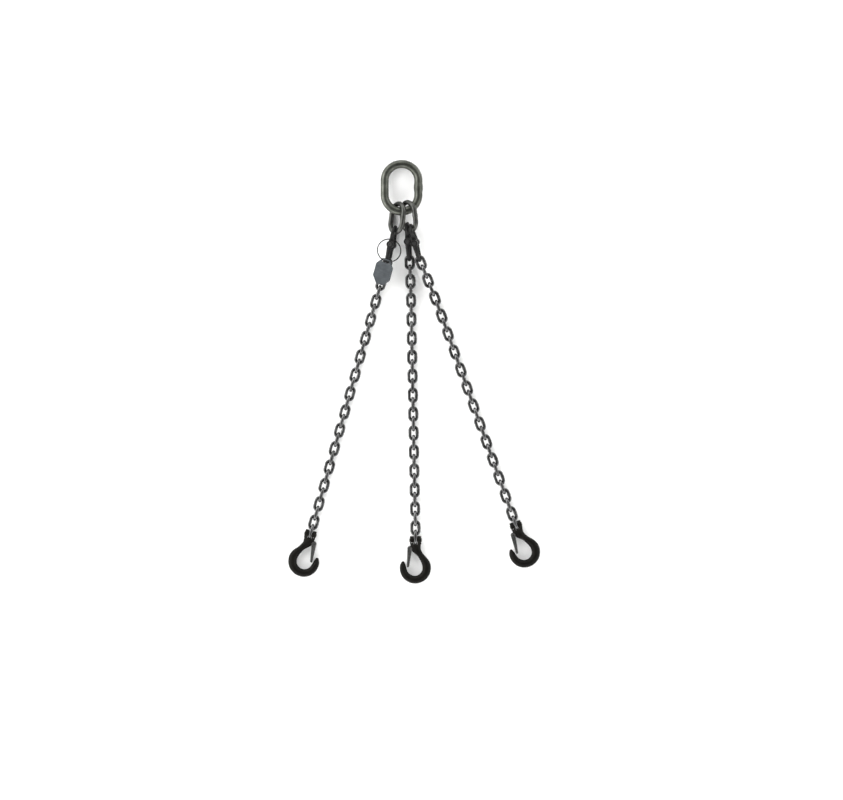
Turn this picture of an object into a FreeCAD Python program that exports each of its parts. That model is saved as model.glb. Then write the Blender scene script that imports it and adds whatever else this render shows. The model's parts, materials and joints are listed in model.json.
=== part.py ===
import FreeCAD, Part
import math
import os
import Sketcher
from FreeCAD import Placement, Rotation, Vector

# A three-legged chain sling of 8 mm round steel chain, laid out flat.
# Millimetres. +X to the right, +Y towards the master link, +Z up, and z = 0 is the
# surface that the sling lies on. Each leg has a frame of its own: x runs down the leg
# towards the hook, y across it, z up.

SIZES = [
    # alias, value, meaning
    ("chain_wire", 8.0, "chain wire diameter"),
    ("chain_length", 24.5, "inner length of one chain link"),
    ("chain_width", 10.4, "inner width of one chain link"),
    ("master_wire", 21.0, "master link wire diameter"),
    ("master_length", 102.0, "master link inner length"),
    ("master_width", 65.0, "master link inner width"),
    ("middle_wire", 12.5, "intermediate link wire diameter"),
    ("middle_length", 61.0, "intermediate link inner length"),
    ("middle_width", 38.0, "intermediate link inner width"),
    ("weld_swell", 1.11, "weld thickness as a share of the wire"),
    ("weld_reach", 1.15, "half length of the weld swelling, in wires"),
    ("coupling_wire", 8.8, "coupling wire diameter"),
    ("coupling_width", 29.0, "coupling inner width at its bows"),
    ("coupling_reach", 46.0, "coupling pin to the wire centre of a bow"),
    ("coupling_gap", 0.3, "gap between neighbouring coupling lugs"),
    ("lug_radius", 9.1, "coupling lug radius"),
    ("outer_lug", 8.0, "outer coupling lug thickness"),
    ("lug_recess", 1.5, "outer lug face, back from the outside of the bow"),
    ("inner_lug", 7.0, "inner coupling lug thickness"),
    ("tongue_reach", 11.2, "inner lug tongue, pin to end"),
    ("tongue_width", 13.0, "inner lug tongue width"),
    ("coupling_pin", 9.6, "coupling pin diameter"),
    ("bush_wall", 1.9, "coupling bush wall thickness"),
    ("pin_slack", 0.08, "radial running clearance of every pin"),
    ("load_pin", 9.6, "hook load pin diameter"),
    ("load_pin_stub", 1.4, "load pin past each clevis ear"),
    ("clevis_width", 29.0, "hook clevis outer width"),
    ("clevis_slot", 9.4, "hook clevis slot width"),
    ("clevis_radius", 10.4, "hook clevis ear radius"),
    ("slot_radius", 14.0, "hook clevis slot depth from the pin"),
    ("roll_pin", 4.0, "roll pin diameter"),
    ("roll_pin_bore", 2.2, "roll pin bore"),
    ("latch_lug_radius", 6.2, "latch lug radius"),
    ("latch_lug_width", 12.0, "latch lug width"),
    ("latch_slack", 0.3, "side gap between latch and lug"),
    ("latch_wall", 2.0, "latch sheet thickness"),
    ("latch_pin", 5.0, "latch pin diameter"),
    ("spring_wire", 1.1, "latch spring wire diameter"),
    ("spring_radius", 3.8, "latch spring coil radius"),
    ("spring_turns", 2.5, "latch spring turns"),
    ("spring_pitch", 1.3, "latch spring pitch"),
    ("ring_wire", 3.0, "tag ring wire diameter"),
    ("ring_radius", 30.0, "tag ring centre radius"),
    ("tag_length", 68.0, "tag length"),
    ("tag_width", 48.0, "tag width"),
    ("tag_thickness", 2.2, "tag thickness"),
]
SIZE = {alias: value for alias, value, meaning in SIZES}

doc = FreeCAD.newDocument("chain_sling")
sheet = doc.addObject("Spreadsheet::Sheet", "Sizes")
for row, (alias, value, meaning) in enumerate(SIZES, start=1):
    sheet.set(f"A{row}", meaning)
    sheet.set(f"B{row}", str(value))
    sheet.setAlias(f"B{row}", alias)
doc.recompute()

nodes = []


def keep(piece, label, placement=None):
    """Name a finished sub-part, place it and list it for export."""
    piece.Label = label
    if placement is not None:
        piece.Placement = placement
    nodes.append(piece)
    return piece


def leg_frame(origin, yaw, pitch=0.0, roll=0.0):
    """x runs at yaw from -Y towards +X, dips by pitch, and is rolled about itself."""
    turn = Rotation(Vector(0, 0, 1), yaw - 90)
    turn = turn.multiply(Rotation(Vector(0, 1, 0), pitch))
    turn = turn.multiply(Rotation(Vector(1, 0, 0), roll))
    return Placement(origin, turn)


def along(frame, x, y=0.0, z=0.0):
    """A point given in a frame's own axes."""
    return frame.multVec(Vector(x, y, z))


# ---------------------------------------------------------------- round wire links


def oval_link(name, kind):
    """A closed round wire link in its own XY plane, long axis along X, weld on its +Y side."""
    wire, length, width = (f"Sizes.{kind}_{word}" for word in ("wire", "length", "width"))
    pieces = []
    for end in (1, -1):
        bow = doc.addObject("Part::Torus", f"{name}_bow")
        bow.Placement = Placement(Vector(), Rotation(Vector(0, 0, 1), -90 * end))
        bow.Angle3 = 180
        bow.setExpression("Radius1", f"({width} + {wire}) / 2")
        bow.setExpression("Radius2", f"{wire} / 2")
        bow.setExpression("Placement.Base.x", f"{end} * ({length} - {width}) / 2")
        side = doc.addObject("Part::Cylinder", f"{name}_side")
        side.Placement = Placement(Vector(), Rotation(Vector(0, 1, 0), 90))
        side.setExpression("Radius", f"{wire} / 2")
        side.setExpression("Height", f"{length} - {width}")
        side.setExpression("Placement.Base.x", f"({width} - {length}) / 2")
        side.setExpression("Placement.Base.y", f"{end} * ({width} + {wire}) / 2")
        pieces += [bow, side]
    weld = doc.addObject("Part::Ellipsoid", f"{name}_weld")
    weld.Placement = Placement(Vector(), Rotation(Vector(0, 1, 0), 90))
    weld.setExpression("Radius1", f"{wire} * Sizes.weld_reach")
    weld.setExpression("Radius2", f"{wire} / 2 * Sizes.weld_swell")
    weld.setExpression("Radius3", f"{wire} / 2 * Sizes.weld_swell")
    weld.setExpression("Placement.Base.y", f"({width} + {wire}) / 2")
    link = doc.addObject("Part::MultiFuse", name)
    link.Shapes = pieces + [weld]
    return link


def crown(kind):
    """Distance from a link's centre to the wire centre of either bow."""
    return (SIZE[f"{kind}_length"] + SIZE[f"{kind}_wire"]) / 2


def bow_radius(kind):
    """Radius of a round bow, to the wire centre."""
    return (SIZE[f"{kind}_width"] + SIZE[f"{kind}_wire"]) / 2


# ---------------------------------------------------------------- sketches in bodies


def plane_of(body, role):
    return next(p for p in body.Origin.OriginFeatures if p.Role == role)


def sketch_on(body, role, offset=None):
    """A sketch on one of a body's own origin planes, moved by offset within that plane's frame."""
    sketch = body.newObject("Sketcher::SketchObject", "Sketch")
    sketch.AttachmentSupport = [(plane_of(body, role), "")]
    sketch.MapMode = "FlatFace"
    if offset is not None:
        sketch.AttachmentOffset = offset
    return sketch


def add_circle(sketch, x, y, radius, expression):
    """A circle held by its centre, with a radius that follows an expression."""
    index = sketch.addGeometry(Part.Circle(Vector(x, y, 0), Vector(0, 0, 1), radius), False)
    sketch.addConstraint(Sketcher.Constraint("DistanceX", -1, 1, index, 3, x))
    sketch.addConstraint(Sketcher.Constraint("DistanceY", -1, 1, index, 3, y))
    held = sketch.addConstraint(Sketcher.Constraint("Radius", index, radius))
    sketch.setExpression(f"Constraints[{held}]", expression)


def add_outline(sketch, points):
    """A closed outline of straight edges with every corner held in place."""
    count = len(points)
    for number, (x, y) in enumerate(points):
        end_x, end_y = points[(number + 1) % count]
        sketch.addGeometry(Part.LineSegment(Vector(x, y, 0), Vector(end_x, end_y, 0)), False)
    for number, (x, y) in enumerate(points):
        sketch.addConstraint(Sketcher.Constraint("Coincident", number, 2, (number + 1) % count, 1))
        sketch.addConstraint(Sketcher.Constraint("DistanceX", -1, 1, number, 1, x))
        sketch.addConstraint(Sketcher.Constraint("DistanceY", -1, 1, number, 1, y))


# ---------------------------------------------------------------- small builders


def cylinder(radius, height, base=(0, 0, 0), axis=(0, 0, 1)):
    """A cylinder centred on base; radius and height are expressions on the sheet."""
    piece = doc.addObject("Part::Cylinder", "Round")
    piece.setExpression("Radius", radius)
    piece.setExpression("Height", height)
    doc.recompute([piece])
    turn = Rotation(Vector(0, 0, 1), Vector(*axis))
    piece.Placement = Placement(Vector(*base) - Vector(*axis) * (piece.Height.Value / 2), turn)
    return piece


def box(length, width, height, base):
    """A box whose lowest corner is base."""
    piece = doc.addObject("Part::Box", "Block")
    for side, text in (("Length", length), ("Width", width), ("Height", height)):
        piece.setExpression(side, text)
    piece.Placement.Base = Vector(*base)
    return piece


def section(x, y, z, heading, width, thickness):
    """An ellipse across a path: width lies in the XY plane, thickness along Z."""
    piece = doc.addObject("Part::Ellipse", "Section")
    piece.setExpression("MajorRadius", f"({width}) / 2")
    piece.setExpression("MinorRadius", f"({thickness}) / 2")
    ahead = math.radians(heading)
    across = Vector(-math.sin(ahead), math.cos(ahead), 0)
    onward = Vector(math.cos(ahead), math.sin(ahead), 0)
    piece.Placement = Placement(Vector(x, y, z), Rotation(across, Vector(0, 0, 1), onward, "XYZ"))
    return piece


def loft(sections):
    piece = doc.addObject("Part::Loft", "Loft")
    piece.Sections = sections
    piece.Solid = True
    return piece


def fuse(pieces):
    piece = doc.addObject("Part::MultiFuse", "Joined")
    piece.Shapes = pieces
    return piece


def cut(base, tools):
    piece = doc.addObject("Part::Cut", "Cut")
    piece.Base = base
    piece.Tool = tools[0] if len(tools) == 1 else fuse(tools)
    return piece


# ---------------------------------------------------------------- coupling links

BOW_RADIUS = bow_radius("coupling")
BOW_CENTRE = SIZE["coupling_reach"] - BOW_RADIUS
HALF_BOSS = BOW_RADIUS + SIZE["coupling_wire"] / 2
OUTER_LUG_START = HALF_BOSS - SIZE["lug_recess"] - SIZE["outer_lug"]
OUTER_LUG_MIDDLE = OUTER_LUG_START + SIZE["outer_lug"] / 2
INNER_LUG_START = OUTER_LUG_START - SIZE["coupling_gap"] - SIZE["inner_lug"]
INNER_LUG_MIDDLE = INNER_LUG_START + SIZE["inner_lug"] / 2
PIN_HOLE = "Sizes.coupling_pin / 2 + Sizes.pin_slack"


def coupling_half(label, frame):
    """A forged U with one outer and one inner lug on the pin, which stands along Z."""
    bow = doc.addObject("Part::Torus", "Bow")
    bow.setExpression("Radius1", "(Sizes.coupling_width + Sizes.coupling_wire) / 2")
    bow.setExpression("Radius2", "Sizes.coupling_wire / 2")
    bow.Angle3 = 180
    upright = Rotation(Vector(1, 0, 0), 90).multiply(Rotation(Vector(0, 0, 1), -90))
    bow.Placement = Placement(Vector(BOW_CENTRE, 0, 0), upright)
    wire = "Sizes.coupling_wire"
    outer_arm = loft([
        section(BOW_CENTRE, 0, BOW_RADIUS, 0, wire, wire),
        section(6, 0, OUTER_LUG_MIDDLE, 0, "Sizes.lug_radius * 1.5", "Sizes.outer_lug * 0.97"),
    ])
    inner_arm = loft([
        section(BOW_CENTRE, 0, -BOW_RADIUS, 0, wire, wire),
        section(SIZE["tongue_reach"] - 0.4, 0, -INNER_LUG_MIDDLE, 0, "Sizes.tongue_width",
                "Sizes.inner_lug * 0.97"),
    ])
    outer_lug = cylinder("Sizes.lug_radius", "Sizes.outer_lug", (0, 0, OUTER_LUG_MIDDLE))
    inner_lug = cylinder("Sizes.lug_radius", "Sizes.inner_lug", (0, 0, -INNER_LUG_MIDDLE))
    tongue = box("Sizes.tongue_reach", "Sizes.tongue_width", "Sizes.inner_lug",
                 (0, -SIZE["tongue_width"] / 2, -INNER_LUG_START - SIZE["inner_lug"]))
    hole = cylinder(PIN_HOLE, "Sizes.coupling_width * 3")
    body = fuse([bow, outer_arm, inner_arm, outer_lug, inner_lug, tongue])
    return keep(cut(body, [hole]), label, frame)


def coupling(leg, frame):
    """Two halves, the lower one turned half a turn, with the pin and bush between them."""
    flip = Placement(Vector(), Rotation(Vector(0, 1, 0), 180))
    coupling_half(f"{leg}_coupling_upper_half", frame.multiply(flip))
    coupling_half(f"{leg}_coupling_lower_half", frame)
    pin = cylinder("Sizes.coupling_pin / 2",
                   "Sizes.coupling_width + 2 * (Sizes.coupling_wire - Sizes.lug_recess) - 1.2")
    keep(pin, f"{leg}_coupling_pin", frame.multiply(pin.Placement))
    bush_length = "Sizes.coupling_width + 2 * (Sizes.coupling_wire - Sizes.lug_recess" \
                  " - Sizes.outer_lug - Sizes.inner_lug - 2 * Sizes.coupling_gap)"
    bush = cut(cylinder("Sizes.coupling_pin / 2 + Sizes.bush_wall", bush_length),
               [cylinder(PIN_HOLE, "Sizes.coupling_width")])
    keep(bush, f"{leg}_coupling_bush", frame)


# ---------------------------------------------------------------- hooks

BOWL = Vector(71, 3, 0)
BOWL_RADIUS = 30
LATCH_PIVOT = Vector(21, 15.5, 0)
ROLL_PIN_AT = Vector(SIZE["load_pin"] / 2 + 1.1, 9.6, 0)
TIP_RADIUS = 4.4


def hook_sections():
    """(x, y, heading, width, thickness) from the clevis round the bowl to the tip."""
    rows = [
        (0, 0, 0, 28.4, 19.6),
        (11, 0, 0, 27, 17.6),
        (24, -1, -12, 23, 12),
        (36.5, -10.5, -38, 15, 12.5),
        (50.5, -20, -30, 17.5, 14.5),
        (62, -25.8, -14, 20.5, 16.5),
    ]
    for angle, width in ((0, 21), (40, 20.5), (75, 19.5), (110, 19), (145, 18), (172, 17)):
        turn = math.radians(angle)
        rows.append((BOWL.x + BOWL_RADIUS * math.sin(turn), BOWL.y - BOWL_RADIUS * math.cos(turn),
                     angle, width, min(17, width - 1)))
    rows += [
        (67, 33.8, 182, 15.2, 14.6),
        (61.5, 33.7, 184, 12.2, 11.8),
        (57.8, 33.4, 186, 2 * TIP_RADIUS, 2 * TIP_RADIUS - 0.1),
    ]
    return rows


def hook(leg, frame):
    """A clevis sling hook: body, load pin, roll pin, latch, latch pin and latch spring."""
    sections = [section(x, y, 0, heading, str(width), str(thickness))
                for x, y, heading, width, thickness in hook_sections()]
    tip = doc.addObject("Part::Sphere", "Tip")
    tip.Radius = TIP_RADIUS - 0.02
    tip.Placement.Base = Vector(57.8, 33.4, 0)
    barrel = cylinder("Sizes.clevis_radius", "Sizes.clevis_width", axis=(0, 1, 0))
    lug = cylinder("Sizes.latch_lug_radius", "Sizes.latch_lug_width", LATCH_PIVOT)
    solid = fuse([loft(sections), tip, barrel, lug])
    slot_half = SIZE["clevis_slot"] / 2
    tools = [
        box("Sizes.clevis_radius * 1.2", "Sizes.clevis_slot", "Sizes.slot_radius * 2",
            (-SIZE["clevis_radius"] * 1.2, -slot_half, -SIZE["slot_radius"])),
        cylinder("Sizes.slot_radius", "Sizes.clevis_slot", axis=(0, 1, 0)),
        cylinder("Sizes.load_pin / 2 + Sizes.pin_slack", "Sizes.clevis_width * 2", axis=(0, 1, 0)),
        cylinder("Sizes.roll_pin / 2 + 0.02", "Sizes.clevis_radius * 3", ROLL_PIN_AT),
        cylinder("Sizes.latch_pin / 2 + 0.02", "Sizes.latch_lug_width * 2", LATCH_PIVOT),
        cylinder("Sizes.latch_lug_radius * 0.9", "Sizes.latch_lug_width * 0.45", LATCH_PIVOT),
    ]
    keep(cut(solid, tools), f"{leg}_hook_body", frame)

    load_pin = cut(
        cylinder("Sizes.load_pin / 2", "Sizes.clevis_width + 2 * Sizes.load_pin_stub",
                 axis=(0, 1, 0)),
        [cylinder("Sizes.roll_pin / 2 + 0.02", "Sizes.clevis_radius * 3", ROLL_PIN_AT)],
    )
    keep(load_pin, f"{leg}_hook_load_pin", frame)
    roll_pin = cut(
        cylinder("Sizes.roll_pin / 2", "Sizes.clevis_radius * 1.5"),
        [cylinder("Sizes.roll_pin_bore / 2", "Sizes.clevis_radius * 2"),
         box("Sizes.roll_pin", "0.8", "Sizes.clevis_radius * 2",
             (0, -0.4, -SIZE["clevis_radius"]))],
    )
    keep(roll_pin, f"{leg}_hook_roll_pin", frame.multiply(Placement(ROLL_PIN_AT, Rotation())))
    keep(latch(), f"{leg}_hook_latch", frame)
    pin = cylinder("Sizes.latch_pin / 2", "Sizes.latch_lug_width + 2 * Sizes.latch_wall + 1.4",
                   LATCH_PIVOT)
    keep(pin, f"{leg}_latch_pin", frame.multiply(pin.Placement))
    keep(latch_spring(), f"{leg}_latch_spring", frame)


def latch():
    """A channel pressing: two cheeks on the lug, and a web on its outer side."""
    body = doc.addObject("PartDesign::Body", "Latch")
    reach, outer_end, inner_end = 68.5, 23.6, 17.6
    outline = sketch_on(body, "XY_Plane")
    radius = 6.0
    top, bottom = LATCH_PIVOT.y + radius, LATCH_PIVOT.y - radius
    add_outline(outline, [
        (LATCH_PIVOT.x, bottom), (reach - 3, inner_end), (reach, inner_end + 1.5),
        (reach, outer_end), (LATCH_PIVOT.x, top), (LATCH_PIVOT.x - 4.2, top - 1.8),
        (LATCH_PIVOT.x - radius, LATCH_PIVOT.y), (LATCH_PIVOT.x - 4.2, bottom + 1.8),
    ])
    pad = body.newObject("PartDesign::Pad", "Pad")
    pad.Profile = outline
    pad.Midplane = True
    pad.setExpression("Length", "Sizes.latch_lug_width + 2 * (Sizes.latch_wall + Sizes.latch_slack)")
    doc.recompute()
    channel = sketch_on(body, "XY_Plane")
    web_start = LATCH_PIVOT.x + 8.5
    add_outline(channel, [
        (LATCH_PIVOT.x - 9, bottom - 3), (reach + 4, inner_end - 6),
        (reach + 4, outer_end - SIZE["latch_wall"]), (web_start, top - SIZE["latch_wall"] + 0.25),
        (web_start, top + 3), (LATCH_PIVOT.x - 9, top + 3),
    ])
    pocket = body.newObject("PartDesign::Pocket", "Channel")
    pocket.Profile = channel
    pocket.Midplane = True
    pocket.setExpression("Length", "Sizes.latch_lug_width + 2 * Sizes.latch_slack")
    doc.recompute()
    pivot = sketch_on(body, "XY_Plane")
    add_circle(pivot, LATCH_PIVOT.x, LATCH_PIVOT.y, SIZE["latch_pin"] / 2 + SIZE["pin_slack"],
               "Sizes.latch_pin / 2 + Sizes.pin_slack")
    hole = body.newObject("PartDesign::Pocket", "Pivot")
    hole.Profile = pivot
    hole.Midplane = True
    hole.Length = 60
    body.Tip = hole
    return body


def latch_spring():
    """A torsion spring coiled round the latch pin, inside the slot of the lug."""
    helix = doc.addObject("Part::Helix", "Coil")
    helix.setExpression("Radius", "Sizes.spring_radius")
    helix.setExpression("Pitch", "Sizes.spring_pitch")
    helix.setExpression("Height", "Sizes.spring_pitch * Sizes.spring_turns")
    wire = doc.addObject("Part::Circle", "Wire")
    wire.setExpression("Radius", "Sizes.spring_wire / 2")
    wire.Placement = Placement(Vector(SIZE["spring_radius"], 0, 0), Rotation(Vector(1, 0, 0), 90))
    spring = doc.addObject("Part::Sweep", "Spring")
    spring.Sections = [wire]
    spring.Spine = (helix, ["Edge1"])
    spring.Solid = True
    spring.Frenet = True
    height = SIZE["spring_pitch"] * SIZE["spring_turns"]
    centred = doc.addObject("Part::Compound", "SpringGroup")
    centred.Links = [spring]
    spring.Placement = Placement(LATCH_PIVOT - Vector(0, 0, height / 2), Rotation())
    return centred


# ---------------------------------------------------------------- tag and ring


def tag(frame):
    """A flat plate with cut corners; its slot is near the end at x = 0."""
    body = doc.addObject("PartDesign::Body", "Tag")
    length, half = SIZE["tag_length"], SIZE["tag_width"] / 2
    outline = sketch_on(body, "XY_Plane")
    add_outline(outline, [
        (0, -half * 0.42), (length * 0.26, -half), (length * 0.74, -half),
        (length, -half * 0.42), (length, half * 0.42), (length * 0.74, half),
        (length * 0.26, half), (0, half * 0.42),
    ])
    pad = body.newObject("PartDesign::Pad", "Plate")
    pad.Profile = outline
    pad.Midplane = True
    pad.setExpression("Length", "Sizes.tag_thickness")
    doc.recompute()
    slot = sketch_on(body, "XY_Plane")
    add_outline(slot, [(2.6, -10), (9.4, -10), (9.4, 10), (2.6, 10)])
    hole = body.newObject("PartDesign::Pocket", "Slot")
    hole.Profile = slot
    hole.Midplane = True
    hole.Length = 20
    body.Tip = hole
    keep(body, "id_tag", frame)


# ---------------------------------------------------------------- where things lie

MASTER_AT = Vector(-32.3, 469.3, 0)
FLOOR_RISE = 0.1
TAG_SLOT_AT = 5.4
CROSSING_HEIGHT = 28.6
FIRST_GAP = 0.4
PIN_GAP = 0.3
CHAIN_BOW = (SIZE["chain_length"] - SIZE["chain_width"]) / 2
LINKS_PER_LEG = 30
RUN_LENGTHS = (2, 4, 4, 4, 4, 4, 4, 4)
CHAIN_AXIS = SIZE["chain_width"] / 2 + SIZE["chain_wire"] + FLOOR_RISE
HOOK_PITCH = 2.6
HOOK_TURNS = {"left": 0, "centre": 180, "right": 180}

MIDDLES = {
    # link: centre from the master link's centre, height, yaw, roll
    "left": (-11.0, -77.6, 27.6, -8.0, 54.0),
    "right": (18.4, -74.4, 30.1, 7.0, 49.7),
}

COUPLINGS = {
    # leg: upper bow wire centre from the master link's centre, height, yaw, pitch, lean
    "left": (-15.2, -100.8, 23.7, -13.0, 0.5, 11.1),
    "centre": (15.4, -91.9, 23.8, 3.0, 0.0, 9.0),
    "right": (23.7, -96.9, 39.6, 14.5, 4.0, 9.0),
}

LEGS = {
    # leg: yaw of its straight run, extra yaw of its first link, links taken to settle,
    # gap left at every contact of its links
    "left": (-15.65, -2.0, 5, 0.12),
    "centre": (1.1, 1.5, 5, 0.3),
    "right": (19.55, 3.0, 7, 0.14),
}


def master_frame():
    low = SIZE["master_wire"] / 2 + FLOOR_RISE
    rise = math.asin((CROSSING_HEIGHT - low) / (2 * crown("master")))
    middle = MASTER_AT + Vector(0, 0, (CROSSING_HEIGHT + low) / 2)
    return leg_frame(middle, 0, -math.degrees(rise))


def middle_frame(side):
    x, y, z, yaw, roll = MIDDLES[side]
    return leg_frame(MASTER_AT + Vector(x, y, z), yaw, 0, roll)


def coupling_frame(leg):
    x, y, z, yaw, pitch, lean = COUPLINGS[leg]
    top = leg_frame(MASTER_AT + Vector(x, y, z), yaw, pitch, lean)
    return Placement(along(top, SIZE["coupling_reach"]), top.Rotation)


def hung_frames(leg, dip):
    """A leg's links, starting at the given dip. Both round bows of a contact stay concentric
    with the wire that runs through them, at one gap, whichever way the chain is bent."""
    straight, extra, settling, link_gap = LEGS[leg]
    before = coupling_frame(leg).multiply(Placement(Vector(), Rotation(Vector(1, 0, 0), 90)))
    bow, kind = along(before, BOW_CENTRE), "coupling"
    frames = []
    for number in range(LINKS_PER_LEG):
        bend = max(0, 1 - number / settling)
        frame = leg_frame(Vector(), straight + extra * bend, dip * bend, 90 * (number % 2))
        ahead, onward = (f.Rotation.multVec(Vector(1, 0, 0)) for f in (frame, before))
        across = before.Rotation.multVec(Vector(0, 1, 0))
        reach = (onward + across * ahead.dot(across)).normalize()
        wires = (SIZE[f"{kind}_wire"] + SIZE["chain_wire"]) / 2
        gap = link_gap if number else FIRST_GAP
        bow = bow + reach * (bow_radius(kind) + bow_radius("chain") - wires - gap)
        frame.Base = bow + ahead * CHAIN_BOW
        frames.append(frame)
        before, bow, kind = frame, bow + ahead * (2 * CHAIN_BOW), "chain"
    return frames


def chain_frames(leg):
    """A leg's links, with the first dip found that brings the straight run to its height."""
    low, high = 0.0, 30.0
    for _ in range(40):
        dip = (low + high) / 2
        frames = hung_frames(leg, dip)
        if frames[-1].Base.z > CHAIN_AXIS:
            low = dip
        else:
            high = dip
    return frames


def hook_frame(leg):
    last = chain_frames(leg)[-1]
    pin = along(last, (SIZE["chain_length"] - SIZE["load_pin"]) / 2 - PIN_GAP)
    return leg_frame(pin, LEGS[leg][0], HOOK_PITCH, HOOK_TURNS[leg])


def ring_frame():
    """The ring threads the upper eye of the left coupling and passes over its lower bow."""
    tilt = Placement(Vector(15.7, 0, 12.5), Rotation(Vector(0, 1, 0), -17))
    roll = Placement(Vector(), Rotation(Vector(1, 0, 0), -14))
    return coupling_frame("left").multiply(tilt).multiply(roll)


def tag_frame():
    """The tag hangs by its slot from the low point of the ring and lies over the chain."""
    low_point = along(ring_frame(), SIZE["ring_radius"])
    lie = leg_frame(low_point, LEGS["left"][0], 13.5, 19)
    return Placement(along(lie, -TAG_SLOT_AT), lie.Rotation)


def build():
    keep(oval_link("master", "master"), "master_link", master_frame())
    for side in MIDDLES:
        keep(oval_link(f"{side}_middle", "middle"), f"{side}_intermediate_link",
             middle_frame(side))
    link = oval_link("chain_link", "chain")
    doc.recompute()
    for leg in COUPLINGS:
        coupling(leg, coupling_frame(leg))
        frames = chain_frames(leg)
        first = 0
        for run, count in enumerate(RUN_LENGTHS, start=1):
            copies = []
            for frame in frames[first:first + count]:
                copy = doc.addObject("App::Link", f"{leg}_link")
                copy.LinkedObject = link
                copy.Placement = frame
                copies.append(copy)
            group = doc.addObject("Part::Compound", f"{leg}_run")
            group.Links = copies
            keep(group, f"{leg}_chain_run_{run}")
            first += count
        hook(leg, hook_frame(leg))
    ring = doc.addObject("Part::Torus", "Ring")
    ring.setExpression("Radius1", "Sizes.ring_radius")
    ring.setExpression("Radius2", "Sizes.ring_wire / 2")
    keep(ring, "tag_ring", ring_frame())
    tag(tag_frame())


build()
doc.recompute()

for item in doc.Objects:
    if "Invalid" in item.State or "Error" in item.State:
        raise RuntimeError(f"{item.Label} did not compute: {item.State}")
os.makedirs("parts", exist_ok=True)
for node in nodes:
    if node.Shape.isNull() or not node.Shape.isValid() or not node.Shape.Solids:
        raise RuntimeError(f"{node.Label} has no valid solid")
    node.Shape.exportStep(f"parts/{node.Label}.step")
print(len(nodes), "sub-parts written")
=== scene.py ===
import json
import math
import bmesh
import bpy
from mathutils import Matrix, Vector
from mathutils.kdtree import KDTree

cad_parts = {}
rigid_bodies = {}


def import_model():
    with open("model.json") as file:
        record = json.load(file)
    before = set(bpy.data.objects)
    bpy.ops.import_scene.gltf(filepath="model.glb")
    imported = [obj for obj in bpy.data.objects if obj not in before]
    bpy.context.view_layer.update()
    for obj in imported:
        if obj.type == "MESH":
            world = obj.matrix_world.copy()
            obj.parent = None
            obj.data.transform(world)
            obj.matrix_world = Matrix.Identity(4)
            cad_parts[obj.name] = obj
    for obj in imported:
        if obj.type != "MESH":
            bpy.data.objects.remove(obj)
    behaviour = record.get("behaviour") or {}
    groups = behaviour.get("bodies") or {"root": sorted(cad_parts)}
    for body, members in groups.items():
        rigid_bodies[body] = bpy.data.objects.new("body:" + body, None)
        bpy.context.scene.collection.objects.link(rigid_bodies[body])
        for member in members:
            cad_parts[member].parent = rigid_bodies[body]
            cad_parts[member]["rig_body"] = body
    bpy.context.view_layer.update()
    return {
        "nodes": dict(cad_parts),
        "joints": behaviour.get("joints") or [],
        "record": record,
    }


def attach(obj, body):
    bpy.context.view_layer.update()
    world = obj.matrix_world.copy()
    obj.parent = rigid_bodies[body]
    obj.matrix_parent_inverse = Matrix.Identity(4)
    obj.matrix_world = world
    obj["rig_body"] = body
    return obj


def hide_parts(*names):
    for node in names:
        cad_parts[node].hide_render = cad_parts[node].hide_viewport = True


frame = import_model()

# A three-legged chain sling on a pale floor. The chain, links and rings keep their CAD
# shapes under worn-steel materials. The forged, pressed and turned pieces and the tag are
# made again here with rounded edges, flash lines, chamfers and relief, each where its CAD
# node is. Lengths are metres, in the frame of the CAD.

MM = 0.001
LEGS = ("left", "centre", "right")

# Skins of forged and pressed pieces: (voxel size, rounds of smoothing)
COUPLING_SKIN = (0.55 * MM, 5)
HOOK_SKIN = (0.6 * MM, 8)
LATCH_SKIN = (0.38 * MM, 3)
TAG_SKIN = (0.4 * MM, 2)

# Chamfers on the ends of turned pins
COUPLING_PIN_CHAMFER = 0.7 * MM
LOAD_PIN_CHAMFER = 0.9 * MM
LATCH_PIN_CHAMFER = 0.5 * MM

# The trimmed flash line round a forged hook
FLASH_HEIGHT = 0.4 * MM
FLASH_HALF_WIDTH = 1.5 * MM
FLASH_FADE = 3 * MM
FLASH_CLEAR_OF_LATCH = 8 * MM
FLASH_CLEAR_OF_PIN = 18 * MM

# The tag's raised rim, and its blank sunk fields along its length
RIM_STEP = 0.4 * MM
RIM_HEIGHT = 0.45 * MM
RIM_OUTER = (0.3 * MM, 0.9 * MM)
RIM_INNER = (2.9 * MM, 2.2 * MM)
UPPER_SKIN = 0.6 * MM
FIELD_DEPTH = 0.35 * MM
FIELD_EDGE = 0.6 * MM
FIELD_LENGTH = 30 * MM
FIELD_WIDTH = 6 * MM
FIELD_ROWS = (-18 * MM, -8 * MM, 2 * MM, 12 * MM)

# The studio. A light is (name, place, side of the square, watts)
FLOOR_HALF = 6.0
BAND_GLOW = 4.0
BAND_STOPS = ((0.0, 0.30), (0.12, 0.62), (0.28, 1.0), (0.58, 0.95), (0.75, 0.1), (1.0, 0.02))
BAND_LEFT, BAND_RIGHT = 1.35, 0.75
LIGHTS = (("key_light", (-2.3, 1.2, 2.2), 1.6, 34), ("fill_light", (2.4, -1.0, 1.8), 1.6, 16))
CAMERA_PLACE = (0.0188, -0.0724, 14.0)
VIEW_WIDTH = 2.154
SENSOR_WIDTH = 36.0

JOINTS = {joint["name"]: joint for joint in frame["joints"]}
BODY_OF = {node: obj["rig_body"] for node, obj in frame["nodes"].items()}
SLOT_OF = {row["node"]: row["material_slot"] for row in frame["record"]["subparts"]}
scene = bpy.context.scene


# ---------------------------------------------------------------- material graphs


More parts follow.
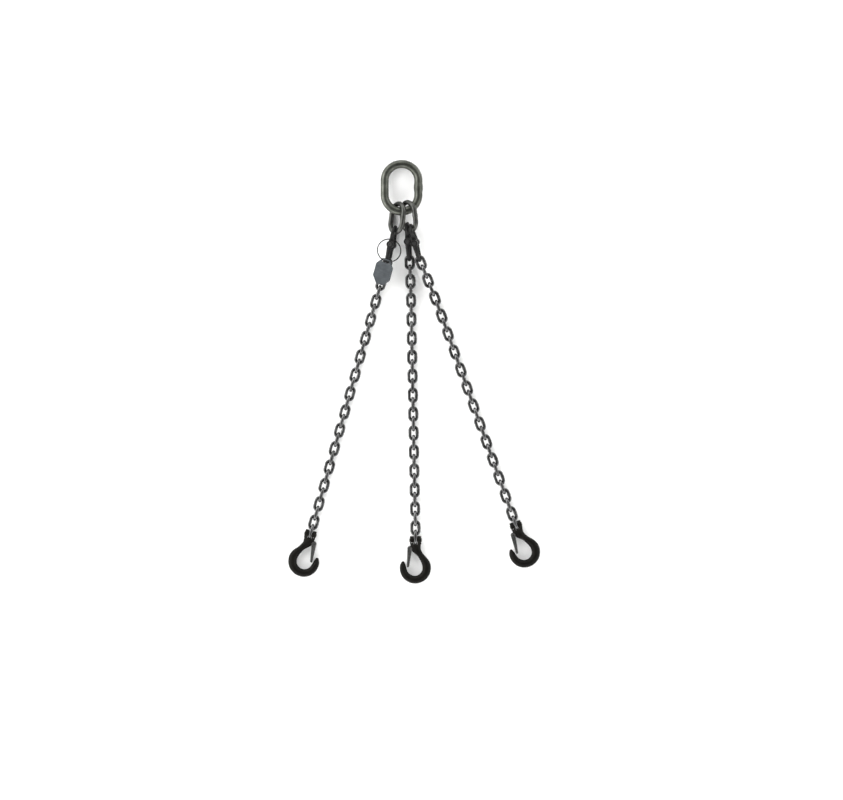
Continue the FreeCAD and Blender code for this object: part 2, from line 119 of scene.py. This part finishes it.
class Graph:
    """A material and its node tree, with one short call that adds and links a node."""

    def __init__(self, name):
        self.material = bpy.data.materials.new(name)
        self.material.use_nodes = True
        self.tree = self.material.node_tree
        self.tree.nodes.clear()
        self.output = self.tree.nodes.new("ShaderNodeOutputMaterial")

    def add(self, kind, inputs=None, **settings):
        node = self.tree.nodes.new(kind)
        for key, value in settings.items():
            setattr(node, key, value)
        for key, value in (inputs or {}).items():
            if isinstance(value, bpy.types.NodeSocket):
                self.tree.links.new(value, node.inputs[key])
            else:
                node.inputs[key].default_value = value
        return node

    def noise(self, vector, scale, detail=4.0, rough=0.55):
        return self.add("ShaderNodeTexNoise", {"Vector": vector, "Scale": scale, "Detail": detail,
                                               "Roughness": rough}).outputs["Fac"]

    def spread(self, value, low, high, to_low=0.0, to_high=1.0):
        node = self.add("ShaderNodeMapRange", {"Value": value, "From Min": low, "From Max": high,
                                               "To Min": to_low, "To Max": to_high})
        return node.outputs["Result"]

    def math(self, operation, a, b=0.0):
        node = self.add("ShaderNodeMath", operation=operation)
        for index, value in enumerate((a, b)):
            if isinstance(value, bpy.types.NodeSocket):
                self.tree.links.new(value, node.inputs[index])
            else:
                node.inputs[index].default_value = value
        return node.outputs[0]

    def mix(self, share, first, second):
        node = self.add("ShaderNodeMix", data_type="RGBA")
        for index, value in ((0, share), (6, first), (7, second)):
            if isinstance(value, bpy.types.NodeSocket):
                self.tree.links.new(value, node.inputs[index])
            else:
                node.inputs[index].default_value = value if index == 0 else (*value, 1)
        return node.outputs[2]

    def finish(self, shader):
        self.tree.links.new(shader.outputs[0], self.output.inputs["Surface"])
        return self.material


def worn_steel(name, dark, light, bare, metallic=0.9, rough=(0.3, 0.5), wear=0.5, shade_and_grime=0.6,
               grain=55.0, bump=0.25, specular=0.5):
    """Steel with mottled scale, fine pitting, rub marks on high spots, and painted shade that
    darkens its corners and crevices, which are also made rougher like grime.
    """
    g = Graph(name)
    place = g.add("ShaderNodeTexCoord").outputs["Object"]
    mottle = g.spread(g.noise(place, grain, 6.0, 0.62), 0.3, 0.7)
    cloud = g.spread(g.noise(place, grain * 0.22, 3.0), 0.35, 0.65)
    colour = g.mix(mottle, dark, light)
    shade = [0.5 * (a + b) * 0.72 for a, b in zip(dark, light)]
    colour = g.mix(g.math("MULTIPLY", cloud, 0.45), colour, shade)
    stretched = g.add("ShaderNodeMapping", {"Vector": place, "Rotation": (0.4, 0.2, 0.9),
                                            "Scale": (1.0, 9.0, 3.0)}).outputs[0]
    scratch = g.spread(g.noise(stretched, grain * 5, 2.0, 0.4), 0.66, 0.74)
    high = g.spread(g.add("ShaderNodeNewGeometry").outputs["Pointiness"], 0.51, 0.56)
    patch = g.spread(g.noise(place, grain * 0.9, 5.0, 0.7), 0.42, 0.6)
    rubbed = g.math("MULTIPLY", high, patch)
    shown = g.math("MAXIMUM", g.math("MULTIPLY", scratch, wear * 0.6),
                   g.math("MULTIPLY", rubbed, wear))
    colour = g.mix(shown, colour, bare)
    # Painted shade: the colour is darkened towards a quarter of the dark tone where ambient
    # occlusion finds corners and crevices, such as the crowns where chain links cross. The same
    # mask also roughens them like grime.
    corner = g.add("ShaderNodeAmbientOcclusion", {"Distance": 5 * MM}, samples=8).outputs["AO"]
    shade_and_grime_mask = g.math("MULTIPLY", g.spread(corner, 0.25, 0.85, 1.0, 0.0), shade_and_grime)
    colour = g.mix(shade_and_grime_mask, colour, [0.25 * c for c in dark])
    roughness = g.spread(g.noise(place, grain * 2.2, 5.0), 0.3, 0.7, *rough)
    roughness = g.math("ADD", roughness, g.math("MULTIPLY", shade_and_grime_mask, 0.25))
    fine = g.noise(place, grain * 9, 3.0, 0.6)
    pits = g.add("ShaderNodeTexVoronoi", {"Vector": place, "Scale": grain * 4}).outputs["Distance"]
    dents = g.spread(pits, 0.0, 0.22)
    height = g.math("ADD", g.math("MULTIPLY", fine, 0.4), g.math("MULTIPLY", dents, 0.25))
    height = g.math("ADD", height, g.math("MULTIPLY", mottle, 0.5))
    normal = g.add("ShaderNodeBump", {"Height": height, "Strength": bump,
                                      "Distance": 0.35 * MM}).outputs[0]
    shader = g.add("ShaderNodeBsdfPrincipled", {
        "Base Color": colour, "Metallic": metallic, "Roughness": roughness, "Normal": normal,
        "Specular IOR Level": specular})
    return g.finish(shader)


MATERIALS = {
    "master_steel": worn_steel("master_steel", (0.028, 0.030, 0.025), (0.10, 0.104, 0.09),
                               (0.3, 0.3, 0.29), rough=(0.3, 0.46), wear=0.4, grain=48),
    "intermediate_steel": worn_steel("intermediate_steel", (0.022, 0.023, 0.021),
                                     (0.08, 0.081, 0.076), (0.28, 0.28, 0.27), rough=(0.28, 0.44),
                                     wear=0.4, grain=70),
    "coupling_steel": worn_steel("coupling_steel", (0.005, 0.005, 0.005), (0.018, 0.018, 0.0175),
                                 (0.16, 0.155, 0.15), metallic=0.35, rough=(0.36, 0.52), wear=0.3,
                                 grain=90, specular=0.14),
    "chain_steel": worn_steel("chain_steel", (0.006, 0.006, 0.0063), (0.12, 0.12, 0.122),
                              (0.42, 0.42, 0.42), metallic=0.95, rough=(0.12, 0.25), wear=0.4,
                              shade_and_grime=1.0, grain=110, bump=0.16),
    "hook_steel": worn_steel("hook_steel", (0.002, 0.0018, 0.0015), (0.008, 0.0073, 0.006),
                             (0.13, 0.12, 0.105), metallic=0.2, rough=(0.38, 0.55), wear=0.25,
                             grain=75, bump=0.35, specular=0.07),
    "pin_steel": worn_steel("pin_steel", (0.02, 0.02, 0.02), (0.055, 0.055, 0.054),
                            (0.25, 0.25, 0.24), rough=(0.3, 0.45), grain=120),
    "latch_steel": worn_steel("latch_steel", (0.016, 0.016, 0.0155), (0.12, 0.12, 0.117),
                              (0.3, 0.3, 0.29), metallic=0.7, rough=(0.32, 0.48), wear=0.5,
                              grain=100, bump=0.15),
    "spring_wire": worn_steel("spring_wire", (0.06, 0.06, 0.06), (0.13, 0.13, 0.126),
                              (0.34, 0.34, 0.34), rough=(0.22, 0.34), grain=160, bump=0.1),
    "ring_steel": worn_steel("ring_steel", (0.012, 0.012, 0.012), (0.045, 0.045, 0.045),
                             (0.25, 0.25, 0.25), rough=(0.3, 0.45), grain=120),
    "tag_plate": worn_steel("tag_plate", (0.026, 0.030, 0.034), (0.056, 0.063, 0.069),
                            (0.17, 0.18, 0.19), metallic=0.3, rough=(0.44, 0.6), wear=0.35,
                            shade_and_grime=0.5, grain=60, bump=0.2, specular=0.22),
}


def dress(obj, slot):
    """Gives a piece or a CAD node the material of its slot, in every material place."""
    obj.data.materials.clear()
    obj.data.materials.append(MATERIALS[slot])
    for polygon in obj.data.polygons:
        polygon.material_index = 0


# ---------------------------------------------------------------- building pieces


def new_object(name, data):
    obj = bpy.data.objects.new(name, data)
    scene.collection.objects.link(obj)
    return obj


def settle(obj, node):
    """Dresses a piece, rides it on its node's body and lets it stand for the CAD node."""
    dress(obj, SLOT_OF[node])
    for polygon in obj.data.polygons:
        polygon.use_smooth = True
    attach(obj, BODY_OF[node])
    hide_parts(node)


def cast_copy(node, skin, name):
    """A forging's or pressing's skin: the node's own solid with all its edges rounded over."""
    voxel, rounds = skin
    source = new_object(name + "_source", frame["nodes"][node].data.copy())
    remesh = source.modifiers.new("skin", "REMESH")
    remesh.mode = "VOXEL"
    remesh.voxel_size = voxel
    smooth = source.modifiers.new("soften", "SMOOTH")
    smooth.factor = 0.5
    smooth.iterations = rounds
    graph = bpy.context.evaluated_depsgraph_get()
    mesh = bpy.data.meshes.new_from_object(source.evaluated_get(graph))
    bpy.data.objects.remove(source)
    mesh.name = name
    return new_object(name, mesh)


def joint_frame(name):
    """(point, unit axis) of a joint at rest."""
    joint = JOINTS[name]
    return Vector(joint["pos_m"]), Vector(joint["axis"]).normalized()


def span_on(node, point, axis):
    """How far a node reaches along an axis through point, and its radius about it."""
    steps = [v.co - point for v in frame["nodes"][node].data.vertices]
    along = [step.dot(axis) for step in steps]
    radius = max((step - axis * step.dot(axis)).length for step in steps)
    return min(along), max(along), radius


def turned(name, node, point, axis, profile, segments=48):
    """A lathe piece about an axis; profile is (distance along the axis, radius)."""
    build = bmesh.new()
    side = axis.orthogonal().normalized()
    other = axis.cross(side)
    rings = []
    for distance, radius in profile:
        ring = []
        for step in range(segments):
            turn = 2 * math.pi * step / segments
            out = side * math.cos(turn) + other * math.sin(turn)
            ring.append(build.verts.new(point + axis * distance + out * radius))
        rings.append(ring)
    for first, second in zip(rings, rings[1:]):
        for step in range(segments):
            after = (step + 1) % segments
            build.faces.new((first[step], first[after], second[after], second[step]))
    build.faces.new(list(reversed(rings[0])))
    build.faces.new(rings[-1])
    bmesh.ops.recalc_face_normals(build, faces=build.faces)
    mesh = bpy.data.meshes.new(name)
    build.to_mesh(mesh)
    build.free()
    settle(new_object(name, mesh), node)


def pin_profile(low, high, radius, chamfer):
    """A turned pin: chamfered ends with a shallow centre dimple in each."""
    dimple = radius * 0.35
    edge = chamfer * 0.25
    return [
        (low + chamfer * 0.8, dimple * 0.2), (low + chamfer * 0.15, dimple), (low, dimple * 1.25),
        (low, radius - chamfer - edge), (low + edge * 0.3, radius - chamfer),
        (low + chamfer - edge * 0.3, radius - edge * 0.2), (low + chamfer + edge, radius),
        (high - chamfer - edge, radius), (high - chamfer + edge * 0.3, radius - edge * 0.2),
        (high - edge * 0.3, radius - chamfer), (high, radius - chamfer - edge),
        (high, dimple * 1.25), (high - chamfer * 0.15, dimple),
        (high - chamfer * 0.8, dimple * 0.2),
    ]


def pin(leg, name, node, joint, chamfer):
    """Turns a leg's pin again, about the axis of the joint that it carries."""
    node = f"{leg}_{node}"
    point, axis = joint_frame(f"{leg}_{joint}")
    low, high, radius = span_on(node, point, axis)
    turned(f"{leg}_{name}", node, point, axis, pin_profile(low, high, radius, chamfer))


def rim_edges(source):
    """The straight edges (start, end) between a plate's upper face and its sides, and the
    upward direction of that face."""
    build = bmesh.new()
    build.from_mesh(source.data)
    bmesh.ops.remove_doubles(build, verts=build.verts, dist=1e-6)
    normal = max(build.faces, key=lambda face: face.calc_area() * face.normal.z).normal.copy()
    edges = []
    for edge in build.edges:
        upward = [face.normal.dot(normal) > 0.9 for face in edge.link_faces]
        if sorted(upward) == [False, True]:
            edges.append([vert.co.copy() for vert in edge.verts])
    build.free()
    return edges, normal


def stamped_tag():
    """The identification tag: a raised rim round its edge and slot, and blank sunk fields."""
    edges, normal = rim_edges(frame["nodes"]["id_tag"])
    start, end = max(edges, key=lambda edge: (edge[1] - edge[0]).length)
    long_axis = (end - start).normalized()
    cross_axis = normal.cross(long_axis)
    samples = []
    for start, end in edges:
        count = max(2, round((end - start).length / RIM_STEP))
        samples += [start.lerp(end, step / count) for step in range(count + 1)]
    centre = sum(samples, Vector()) / len(samples)
    rim = KDTree(len(samples))
    for index, point in enumerate(samples):
        rim.insert(point, index)
    rim.balance()
    if (joint_frame("tag_swing")[0] - centre).dot(long_axis) < 0:
        long_axis = -long_axis
    tag = cast_copy("id_tag", TAG_SKIN, "stamped_tag")
    for vertex in tag.data.vertices:
        step = vertex.co - centre
        if step.dot(normal) < -UPPER_SKIN:
            continue
        away = rim.find(vertex.co)[2]
        rise = RIM_HEIGHT * ease(away, *RIM_OUTER) * ease(away, *RIM_INNER)
        for row in FIELD_ROWS:
            inside = min(FIELD_LENGTH / 2 - abs(step.dot(cross_axis)),
                         FIELD_WIDTH / 2 - abs(step.dot(long_axis) - row))
            rise -= FIELD_DEPTH * ease(inside, 0.0, FIELD_EDGE)
        vertex.co += normal * rise
    settle(tag, "id_tag")


def raise_flash(hook, leg):
    """Raises the trimmed flash line of a forged hook, where the two dies met."""
    pivot, normal = joint_frame(f"{leg}_latch_open")
    pin_point = joint_frame(f"{leg}_hook_swing")[0]
    lifts = []
    for vertex in hook.data.vertices:
        off = abs((vertex.co - pivot).dot(normal))
        clear = min((vertex.co - pivot).length - FLASH_CLEAR_OF_LATCH,
                    (vertex.co - pin_point).length - FLASH_CLEAR_OF_PIN)
        if off < FLASH_HALF_WIDTH and clear > 0:
            share = ease(off, FLASH_HALF_WIDTH, 0.3 * FLASH_HALF_WIDTH)
            share *= ease(clear, 0, FLASH_FADE)
            flat = vertex.normal - normal * vertex.normal.dot(normal)
            lifts.append((vertex.index, flat * (share * FLASH_HEIGHT)))
    for index, lift in lifts:
        hook.data.vertices[index].co += lift


def ease(value, low, high):
    """0 at low, 1 at high, smooth between; low may be above high."""
    share = min(1.0, max(0.0, (value - low) / (high - low)))
    return share * share * (3 - 2 * share)


# ---------------------------------------------------------------- the pieces of each leg


def build_leg(leg):
    """Makes a leg's forged, pressed and turned pieces again, from the coupling down."""
    for half in ("upper", "lower"):
        node = f"{leg}_coupling_{half}_half"
        settle(cast_copy(node, COUPLING_SKIN, f"{leg}_forged_{half}_half"), node)
    pin(leg, "turned_coupling_pin", "coupling_pin", "coupling_turn", COUPLING_PIN_CHAMFER)
    hook = cast_copy(f"{leg}_hook_body", HOOK_SKIN, f"{leg}_forged_hook")
    raise_flash(hook, leg)
    settle(hook, f"{leg}_hook_body")
    pin(leg, "turned_load_pin", "hook_load_pin", "hook_swing", LOAD_PIN_CHAMFER)
    latch = cast_copy(f"{leg}_hook_latch", LATCH_SKIN, f"{leg}_pressed_latch")
    settle(latch, f"{leg}_hook_latch")
    pin(leg, "riveted_latch_pin", "latch_pin", "latch_open", LATCH_PIN_CHAMFER)


for node, obj in frame["nodes"].items():
    dress(obj, SLOT_OF[node])

for leg in LEGS:
    build_leg(leg)
stamped_tag()


# ---------------------------------------------------------------- floor, light and camera


def floor():
    """A pale matt floor under the sling."""
    half = FLOOR_HALF
    mesh = bpy.data.meshes.new("floor")
    corners = [(-half, -half, 0), (half, -half, 0), (half, half, 0), (-half, half, 0)]
    mesh.from_pydata(corners, [], [(0, 1, 2, 3)])
    obj = new_object("floor", mesh)
    g = Graph("pale_floor")
    place = g.add("ShaderNodeTexCoord").outputs["Object"]
    colour = g.mix(g.noise(place, 3.0), (0.90, 0.90, 0.90), (0.93, 0.93, 0.93))
    shader = g.add("ShaderNodeBsdfPrincipled", {"Base Color": colour, "Roughness": 0.85,
                                                "Specular IOR Level": 0.15})
    obj.data.materials.append(g.finish(shader))


def soft_box(name, place, side, power):
    """A square soft light that faces the middle of the sling."""
    data = bpy.data.lights.new(name, "AREA")
    data.shape = "RECTANGLE"
    data.size = data.size_y = side
    data.energy = power
    lamp = new_object(name, data)
    lamp.location = place
    lamp.rotation_euler = (-Vector(place)).to_track_quat("-Z", "Y").to_euler()


def world():
    """A studio with a glowing band all round, brighter on the left, and a dark ceiling."""
    data = bpy.data.worlds.new("studio")
    data.use_nodes = True
    tree = data.node_tree
    tree.nodes.clear()
    kinds = ("TexCoord", "SeparateXYZ", "ValToRGB", "MapRange", "Math", "Background",
             "OutputWorld")
    place, split, ramp, lean, strength, back, out = (
        tree.nodes.new("ShaderNode" + kind) for kind in kinds)
    for index, (height, glow) in enumerate(BAND_STOPS):
        stop = ramp.color_ramp.elements[index] if index < 2 else ramp.color_ramp.elements.new(1.0)
        stop.position = height
        stop.color = (glow, glow, glow * 0.99, 1)
    lean.inputs["From Min"].default_value = -1
    lean.inputs["To Min"].default_value = BAND_LEFT
    lean.inputs["To Max"].default_value = BAND_RIGHT
    strength.operation = "MULTIPLY"
    strength.inputs[1].default_value = BAND_GLOW
    for source, target in (
            (place.outputs["Generated"], split.inputs[0]),
            (split.outputs["X"], lean.inputs["Value"]),
            (split.outputs["Z"], ramp.inputs["Fac"]),
            (ramp.outputs["Color"], back.inputs["Color"]),
            (lean.outputs["Result"], strength.inputs[0]),
            (strength.outputs[0], back.inputs["Strength"]),
            (back.outputs[0], out.inputs["Surface"])):
        tree.links.new(source, target)
    scene.world = data


def camera():
    """A long lens straight above, so that the flat lay is seen without perspective."""
    data = bpy.data.cameras.new("camera")
    data.sensor_width = SENSOR_WIDTH
    data.lens = SENSOR_WIDTH * CAMERA_PLACE[2] / VIEW_WIDTH
    data.clip_end = 100.0
    scene.camera = new_object("camera", data)
    scene.camera.location = CAMERA_PLACE


floor()
for light in LIGHTS:
    soft_box(*light)
world()
camera()
scene.view_settings.view_transform = "Standard"
